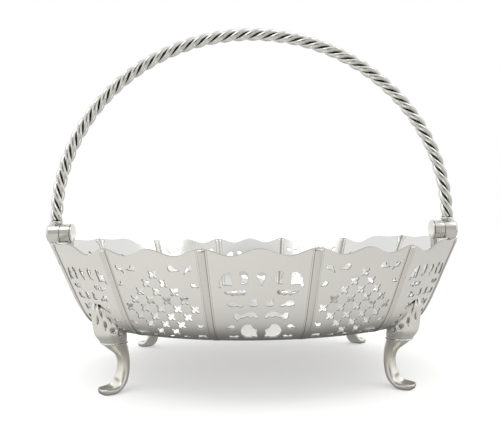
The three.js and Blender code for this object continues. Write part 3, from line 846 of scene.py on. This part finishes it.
# Rings of the leg: reach and height of the middle, thickness, width and lean in degrees
LEG_RINGS = np.array([
    (LEDGE_REACH, LEDGE_HEIGHT - 0.1 * MM, 2 * LEDGE_RADIUS - 0.9 * MM, 2 * LEDGE_RADIUS - 0.9 * MM, 0),
    (LEDGE_REACH - 2.4 * MM, LEDGE_HEIGHT - 2.6 * MM, ANKLE_THICKNESS * 1.55, ANKLE_WIDTH * 1.3, -10),
    (ANKLE_REACH + 1.2 * MM, LEDGE_HEIGHT - 6 * MM, ANKLE_THICKNESS * 1.2, ANKLE_WIDTH * 1.08, -10),
    (ANKLE_REACH, LEDGE_HEIGHT * 0.6, ANKLE_THICKNESS, ANKLE_WIDTH, 0),
    (ANKLE_REACH + 0.3 * MM, LEDGE_HEIGHT * 0.4, ANKLE_THICKNESS, ANKLE_WIDTH * 1.04, 8),
    (ANKLE_REACH + 1.9 * MM, FOOT_THICKNESS * 1.35, ANKLE_THICKNESS, ANKLE_WIDTH * 1.2, 34),
    (ANKLE_REACH + 4.5 * MM, FOOT_THICKNESS * 0.7, FOOT_THICKNESS * 1.15, FOOT_WIDTH * 0.96, 60),
    (FOOT_REACH - 6.3 * MM, FOOT_THICKNESS * 0.42, FOOT_THICKNESS, FOOT_WIDTH * 1.02, 74),
    (FOOT_REACH - 1.8 * MM, FOOT_THICKNESS * 0.38, FOOT_THICKNESS * 0.95, FOOT_WIDTH * 0.92, 72),
    (FOOT_REACH, FOOT_THICKNESS * 0.36, FOOT_THICKNESS * 0.85, FOOT_WIDTH * 0.64, 72)])


def blunted(value, power):
    """A sine or cosine that makes a round section squarer."""
    return math.copysign(abs(value) ** power, value)


def leg_mesh(panel):
    place, *_ = leg_frame(panel)
    rings = []
    rows = smooth_rows(LEG_RINGS, 84)
    angles = np.linspace(0, 2 * math.pi, 40, endpoint=False)
    for row, (reach, height, thickness, width, lean) in enumerate(rows):
        share = row / (len(rows) - 1)
        dish = np.clip((share - 0.56) / 0.14, 0, 1) * np.clip((1 - share) / 0.08, 0, 1)
        flat = np.clip((share - 0.12) / 0.15, 0, 1)
        bluntness = 1 - 0.35 * np.clip((share - 0.62) / 0.18, 0, 1)
        turn = math.radians(lean)
        ring = []
        for angle in angles:
            side = blunted(math.sin(angle), bluntness) * width / 2
            depth = blunted(math.cos(angle), bluntness) * thickness / 2
            if depth > 0:
                hollow = max(0, 1 - (side / (0.4 * width)) ** 2)
                depth -= (DISH_DEPTH * dish + SHIN_DEPTH * flat) * hollow * thickness
            level = max(height + depth * math.sin(turn), 0.0)
            ring.append(place(reach + depth * math.cos(turn), side, level))
        rings.append(ring)
    return loft(rings)


LEG_PANELS = (2, 9, -2, 5)
for index, panel in enumerate(LEG_PANELS):
    points, faces = knee_mesh(panel)
    make_piece(f"leaf_knee_{index + 1}", points, faces, ["knee"], "basket", "knee", [f"knee_{index + 1}"])
    points, faces = leg_mesh(panel)
    make_piece(f"cabriole_{index + 1}", points, faces, ["leg"], "basket", "leg", [f"leg_{index + 1}"])


# Hinges

def turned_x(pairs, sides=64):
    """Rings about the hinge axis, from pairs of distance along X and radius."""
    angles = np.linspace(0, 2 * math.pi, sides, endpoint=False)
    return [[(x, radius * math.cos(a), HINGE_HEIGHT + radius * math.sin(a)) for a in angles]
            for x, radius in pairs]


def rounded_end(start, end, radius, bevels, steps=6):
    """Pairs for a cylinder with a rounded shoulder at each end."""
    quarter = [math.pi / 2 * step / steps for step in range(steps + 1)]
    near, far = bevels
    first = [(start + near * (1 - math.sin(a)), radius - near * (1 - math.cos(a))) for a in quarter]
    last = [(end - far * (1 - math.sin(a)), radius - far * (1 - math.cos(a))) for a in quarter]
    return [(start, radius * 0.05), *reversed(first), *last, (end, radius * 0.05)]


def turned_round(points, faces):
    """The same at the other end of the basket."""
    return np.asarray(points) * (-1, -1, 1), faces


def joined(*parts):
    points, faces = [], []
    for part_points, part_faces in parts:
        start = len(points)
        points.extend([tuple(point) for point in part_points])
        faces.extend([tuple(corner + start for corner in face) for face in part_faces])
    return points, faces


def rounded_block(x0, x1, half_width, z0, z1, corner):
    """An upright plate with rounded corners, lofted along X."""
    outline = []
    for centre_y, centre_z, start in ((half_width - corner, z1 - corner, 0),
                                      (-half_width + corner, z1 - corner, 90),
                                      (-half_width + corner, z0 + corner, 180),
                                      (half_width - corner, z0 + corner, 270)):
        for step in range(7):
            a = math.radians(start + 15 * step)
            outline.append((centre_y + corner * math.cos(a), centre_z + corner * math.sin(a)))
    centre = (z0 + z1) / 2
    rings = []
    edge = 0.35 * MM
    for x, shrink in ((x0, edge), (x0 + edge, 0), (x1 - edge, 0), (x1, edge)):
        rings.append([(x, y * (1 - shrink / half_width),
                       centre + (z - centre) * (1 - 2 * shrink / (z1 - z0))) for y, z in outline])
    return loft(rings)


lug_start = SEAM_X - HINGE_SEAM / 2 - LUG_LENGTH
lug_end = SEAM_X - HINGE_SEAM / 2
outer_start = SEAM_X + HINGE_SEAM / 2
outer_end = outer_start + OUTER_LENGTH
tongue_bottom = HINGE_HEIGHT - KNUCKLE_RADIUS - TONGUE_DEPTH
tongue_lean = FLARE_RUN / FLARE_RISE * (RIM_HEIGHT - tongue_bottom)
tongue_end = RIM_HALF_LENGTH - SHEET / 2 - PILASTER_BACK - tongue_lean

lug = joined(
    loft(turned_x(rounded_end(lug_start + PLATE + PLATE_GROOVE, lug_end, KNUCKLE_RADIUS,
                              (0.3 * MM, 0.25 * MM)))),
    loft(turned_x(rounded_end(lug_start + PLATE / 2, lug_end - PLATE, KNUCKLE_RADIUS * 0.86,
                              (0.1 * MM, 0.1 * MM)))),
    loft(turned_x(rounded_end(lug_start, lug_start + PLATE, KNUCKLE_RADIUS, (0.5 * MM, 0.2 * MM)))),
    rounded_block(lug_start + 0.15 * MM, tongue_end, TONGUE_WIDTH / 2, tongue_bottom, HINGE_HEIGHT,
                  0.8 * MM))


def foot_collar():
    """The cup under the rope's foot, blended down on the outer knuckle."""
    angles = np.linspace(0, 2 * math.pi, 48, endpoint=False)
    rings = []
    for height, radius, shift in ((-3.2, 3.2, 1.6), (-1.4, 3.7, 1.1), (0.2, 4.05, 0.3), (1.0, 4.2, 0),
                                  (1.6, 4.15, 0), (1.8, 3.7, 0)):
        middle = ROPE_X + shift * MM
        rings.append([(middle + radius * MM * math.cos(a), radius * MM * math.sin(a),
                       SADDLE_BOTTOM + height * MM - 0.25 * MM) for a in angles])
    rings = [[(max(x, outer_start + 0.02 * MM) if z < SADDLE_BOTTOM else x, y, z) for x, y, z in ring]
             for ring in rings]
    return loft(rings)


outer = joined(
    loft(turned_x(rounded_end(outer_start, outer_end, KNUCKLE_RADIUS, (0.25 * MM, 1.9 * MM)))),
    foot_collar())

for name, lug_mesh, outer_mesh in (("right", lug, outer),
                                   ("left", turned_round(*lug), turned_round(*outer))):
    make_piece(f"lug_{name}", *lug_mesh, ["hinge"], "basket", "hinge", [f"hinge_lug_{name}"])
    make_piece(f"outer_knuckle_{name}", *outer_mesh, ["hinge"], "handle", "hinge",
               [f"handle_end_{name}"])
    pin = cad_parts[f"hinge_pin_{name}"]
    pin.data.materials.clear()
    pin.data.materials.append(SILVER["pin"])


# Rope-twist handle: three round wires laid round each other

rope_start = SADDLE_TOP + SEAT_GAP
arch_t = np.linspace(0, math.pi, 6001)
arch_steps = np.hypot(np.diff(ROPE_X * np.cos(arch_t)), np.diff(HANDLE_RISE * np.sin(arch_t)))
ARCH_RUN = np.concatenate([[0], np.cumsum(arch_steps)])
ARCH_LENGTH = ARCH_RUN[-1]


def rope_frame(share):
    """The rope's middle line at a share of its length, and the direction away from the basket."""
    angle = math.pi - np.interp(share * ARCH_LENGTH, ARCH_RUN, arch_t)
    middle = np.array([ROPE_X * math.cos(angle), 0, rope_start + HANDLE_RISE * math.sin(angle)])
    away = np.array([HANDLE_RISE * math.cos(angle), 0, ROPE_X * math.sin(angle)])
    return middle, away / np.linalg.norm(away)


def wire(start_turn, sides=18, steps=36):
    """A round wire that winds about the rope's middle line."""
    stations = int(ARCH_LENGTH / ROPE_LAY * steps)
    radius = ROPE_RADIUS - WIRE_CENTRE
    middles, centres = [], []
    for station in range(stations + 1):
        share = station / stations
        middle, away = rope_frame(share)
        turn = start_turn + 2 * math.pi * share * ARCH_LENGTH / ROPE_LAY
        # The wires draw together where they are let into the knuckles
        ends = min(share, 1 - share) * ARCH_LENGTH
        draw = 1 - 0.12 * math.exp(-(ends / (5 * MM)) ** 2)
        middles.append(middle)
        centres.append(middle + WIRE_CENTRE * draw
                       * (away * math.sin(turn) + np.array([0, -1, 0]) * math.cos(turn)))
    middles, centres = np.array(middles), np.array(centres)
    tangents = np.gradient(centres, axis=0)
    tangents /= np.linalg.norm(tangents, axis=1, keepdims=True)
    out = centres - middles
    out -= tangents * np.sum(out * tangents, axis=1, keepdims=True)
    out /= np.linalg.norm(out, axis=1, keepdims=True)
    beside = np.cross(tangents, out)
    rings = [centres[:, None] + radius * (out[:, None] * math.cos(a) + beside[:, None] * math.sin(a))
             for a in np.linspace(0, 2 * math.pi, sides, endpoint=False)]
    return loft(np.concatenate(rings, axis=1))


for number in range(ROPE_WIRES):
    points, faces = wire(ROPE_PHASE + 2 * math.pi * number / ROPE_WIRES)
    make_piece(f"rope_wire_{number + 1}", points, faces, ["rope"], "handle", "rope",
               [f"handle_strand_{number + 1}"])


# Studio: a pale floor, a white surround and two soft lamps

def stage_mesh(name, points, faces=None):
    """Part of the surroundings. Without faces, its points go round one face."""
    mesh = bpy.data.meshes.new(name)
    mesh.from_pydata(points, [], faces or [tuple(range(len(points)))])
    made = bpy.data.objects.new(name, mesh)
    bpy.context.scene.collection.objects.link(made)
    return made


def seen_rays(tree):
    """A socket that is 1 for what the camera sees, in the open or by way of metal or glass."""
    path = tree.nodes.new("ShaderNodeLightPath")
    total = path.outputs["Is Camera Ray"]
    for name in ("Is Glossy Ray", "Is Transmission Ray"):
        either = tree.nodes.new("ShaderNodeMath")
        either.operation = "MAXIMUM"
        tree.links.new(total, either.inputs[0])
        tree.links.new(path.outputs[name], either.inputs[1])
        total = either.outputs[0]
    return total


def floor_material():
    material = bpy.data.materials.new("floor")
    material.use_nodes = True
    tree = material.node_tree
    shader = tree.nodes["Principled BSDF"]
    shader.inputs["Roughness"].default_value = 1.0
    shader.inputs["Specular IOR Level"].default_value = 0.0
    shader.inputs["Base Color"].default_value = (0.9, 0.9, 0.895, 1)
    glow = node(tree, "ShaderNodeEmission", Strength=FLOOR_GLOW)
    lifted = tree.nodes.new("ShaderNodeAddShader")
    pick = tree.nodes.new("ShaderNodeMixShader")
    tree.links.new(shader.outputs[0], lifted.inputs[0])
    tree.links.new(glow.outputs[0], lifted.inputs[1])
    tree.links.new(seen_rays(tree), pick.inputs["Fac"])
    tree.links.new(shader.outputs[0], pick.inputs[1])
    tree.links.new(lifted.outputs[0], pick.inputs[2])
    tree.links.new(pick.outputs[0], tree.nodes["Material Output"].inputs["Surface"])
    return material


FLOOR_REACH = 6.0
floor = stage_mesh("floor", [(x * FLOOR_REACH, y * FLOOR_REACH, 0)
                             for x, y in ((-1, -1), (1, -1), (1, 1), (-1, 1))])
floor.data.materials.append(floor_material())

world = bpy.data.worlds.new("studio")
bpy.context.scene.world = world
world.use_nodes = True
tree = world.node_tree
tree.nodes.clear()
backdrop = node(tree, "ShaderNodeBackground", Strength=1.0)
backdrop.inputs["Color"].default_value = (1, 1, 1, 1)
soft = node(tree, "ShaderNodeBackground", Strength=SOFT_LEVEL)
soft.inputs["Color"].default_value = (1, 1, 1, 1)
mix = tree.nodes.new("ShaderNodeMixShader")
output = tree.nodes.new("ShaderNodeOutputWorld")
tree.links.new(seen_rays(tree), mix.inputs["Fac"])
tree.links.new(soft.outputs[0], mix.inputs[1])
tree.links.new(backdrop.outputs[0], mix.inputs[2])
tree.links.new(mix.outputs[0], output.inputs["Surface"])


LAMP_TARGET = (0, 0, 0.08)


def lamp(name, place, size, power):
    data = bpy.data.lights.new(name, "AREA")
    data.shape = "RECTANGLE"
    data.size, data.size_y = size
    data.energy = power
    lit = bpy.data.objects.new(name, data)
    lit.matrix_world = (Matrix.Translation(place)
                        @ (Vector(LAMP_TARGET) - Vector(place)).to_track_quat("-Z", "Y").to_matrix().to_4x4())
    bpy.context.scene.collection.objects.link(lit)


lamp("key", (-0.7, -0.6, 1.4), (0.7, 0.7), 2.5)
lamp("fill", (0.9, -0.3, 1.2), (0.6, 0.6), 1.5)


def reflection_only(card, level, attribute=None):
    """Gives a card a warm glow that only reflections see, times an attribute of its corners."""
    material = bpy.data.materials.new(card.name)
    material.use_nodes = True
    tree = material.node_tree
    tree.nodes.clear()
    glow = node(tree, "ShaderNodeEmission", Strength=level)
    glow.inputs["Color"].default_value = (1.0, 0.99, 0.955, 1)
    if attribute:
        share = tree.nodes.new("ShaderNodeAttribute")
        share.attribute_name = attribute
        strength = node(tree, "ShaderNodeMath")
        strength.operation = "MULTIPLY"
        strength.inputs[1].default_value = level
        tree.links.new(share.outputs["Fac"], strength.inputs[0])
        tree.links.new(strength.outputs[0], glow.inputs["Strength"])
    tree.links.new(glow.outputs[0], tree.nodes.new("ShaderNodeOutputMaterial").inputs["Surface"])
    card.data.materials.append(material)
    card.visible_camera = False
    card.visible_diffuse = False
    card.visible_shadow = False


def upright_card(name, middle_x, half, y, low, high, level):
    card = stage_mesh(name, [(middle_x - half, y, low), (middle_x + half, y, low),
                             (middle_x + half, y, high), (middle_x - half, y, high)])
    reflection_only(card, level)


# The table round the basket, as only reflections see it: distance out from under the wall, and how bright it
# is there. The dim rings under the bowl are a painted shadow.
TABLE_RINGS = [(-0.11, 0.3), (-0.04, 0.33), (-0.015, 0.4), (0, 0.5), (0.012, 0.65), (0.025, 0.8),
               (0.045, 0.95), (0.08, 1.0), (0.3, 1.0), (1.3, 1.0)]
TABLE_SIDES = 96


def table_card():
    """A level card round the basket. It is darker under the bowl, toward the ends and toward +X."""
    angles = np.linspace(0, 2 * math.pi, TABLE_SIDES, endpoint=False)
    points, shares = [], []
    for distance, share in TABLE_RINGS:
        for angle in angles:
            x = (RIM_HALF_LENGTH * 0.93 + distance) * math.cos(angle)
            y = (RIM_HALF_WIDTH * 0.93 + distance) * math.sin(angle)
            points.append((x, y, 0.3 * MM))
            # Painted shadow under the bowl, and painted shade toward the ends and toward +X, on this glowing
            # card
            toward_ends = 0.08 * eased(abs(x), 0.11, 0.3)
            shares.append(share * (1 - 0.07 * math.tanh(x / 0.15) - toward_ends))
    card = stage_mesh("card_table", points, grid_faces(len(TABLE_RINGS), TABLE_SIDES))
    card.data.attributes.new("share", "FLOAT", "POINT").data.foreach_set("value", shares)
    reflection_only(card, TABLE_LEVEL, "share")


table_card()
upright_card("card_room", 0, 1.3, -1.3, 0.0, 1.3, ROOM_LEVEL)
upright_card("card_dark", -0.03, 0.17, -0.75, 0.02, 0.45, DARK_LEVEL)

# Camera at the photograph's place: a level view from the front, a little left of the middle
CAMERA_PLACE = (-10 * MM, -387 * MM, 92.5 * MM)
CAMERA_YAW = math.radians(1.17)
CAMERA_PITCH = math.radians(1.0)
CAMERA_ROLL = math.radians(-0.63)
CAMERA_LENS = 40.97
forward = Vector((math.sin(CAMERA_YAW) * math.cos(CAMERA_PITCH),
                  math.cos(CAMERA_YAW) * math.cos(CAMERA_PITCH), math.sin(CAMERA_PITCH)))
level = Vector((math.cos(CAMERA_YAW), -math.sin(CAMERA_YAW), 0))
steep = level.cross(forward)
right = level * math.cos(CAMERA_ROLL) + steep * math.sin(CAMERA_ROLL)
upward = right.cross(forward)
camera_data = bpy.data.cameras.new("camera")
camera_data.lens = CAMERA_LENS
camera_data.sensor_width = 36
camera_data.clip_start = 0.01
camera = bpy.data.objects.new("camera", camera_data)
camera.matrix_world = Matrix((
    (right.x, upward.x, -forward.x, CAMERA_PLACE[0]),
    (right.y, upward.y, -forward.y, CAMERA_PLACE[1]),
    (right.z, upward.z, -forward.z, CAMERA_PLACE[2]),
    (0, 0, 0, 1)))
bpy.context.scene.collection.objects.link(camera)
bpy.context.scene.camera = camera
bpy.context.scene.view_settings.view_transform = "Standard"
